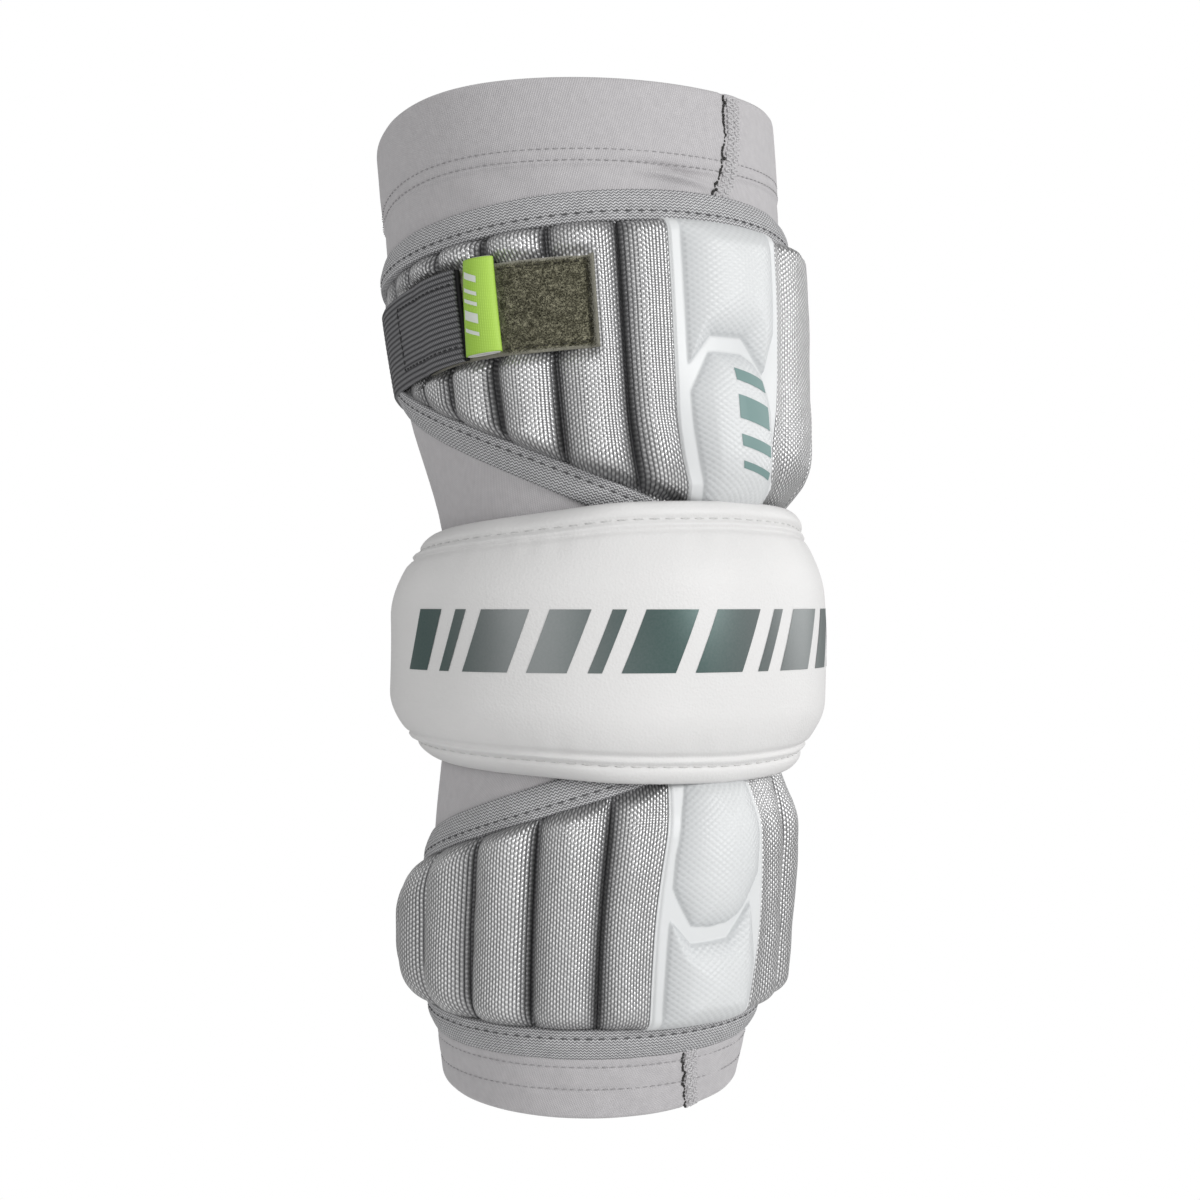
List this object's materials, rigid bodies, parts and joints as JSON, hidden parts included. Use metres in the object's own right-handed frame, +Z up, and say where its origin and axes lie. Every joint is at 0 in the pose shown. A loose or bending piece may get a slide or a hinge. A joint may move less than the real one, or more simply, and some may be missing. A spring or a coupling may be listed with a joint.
{
  "type": "lacrosse arm pad",
  "caption": "Knitted arm sleeve with ribbed foam pads above and below a padded wrap-round elbow cap, moulded front panels and an elastic closing strap.",
  "frame": {"origin": "on the arm's middle line at the height of the elbow, inside the sleeve", "axes": "+Z up the arm towards the shoulder, -Y to the front where the point of the elbow and the panels are, +X to the right seen from the front"},
  "size_m": [0.1321, 0.1418, 0.2907],
  "materials": {
    "sleeve_knit": "matt fine knit",
    "rib_cloth": "coarse woven nylon with a slight shine",
    "binding_tape": "twill tape with a darker sewing thread",
    "moulded_panel": "smooth moulded face with a fine dotted emboss",
    "cap_leather": "smooth soft synthetic leather",
    "strap_webbing": "ribbed elastic webbing",
    "loop_pile": "fuzzy loop pile",
    "tab_ribbon": "smooth woven ribbon"
  },
  "bodies": {
    "root": {"sleeve": "sleeve_knit", "upper_arm_pad": "rib_cloth", "upper_arm_tape": "binding_tape", "upper_arm_panel": "moulded_panel", "forearm_pad": "rib_cloth", "forearm_tape": "binding_tape", "forearm_panel": "moulded_panel", "elbow_cap": "cap_leather", "strap": "strap_webbing", "loop_patch": "loop_pile", "pull_tab": "tab_ribbon"}
  },
  "joints": []
}
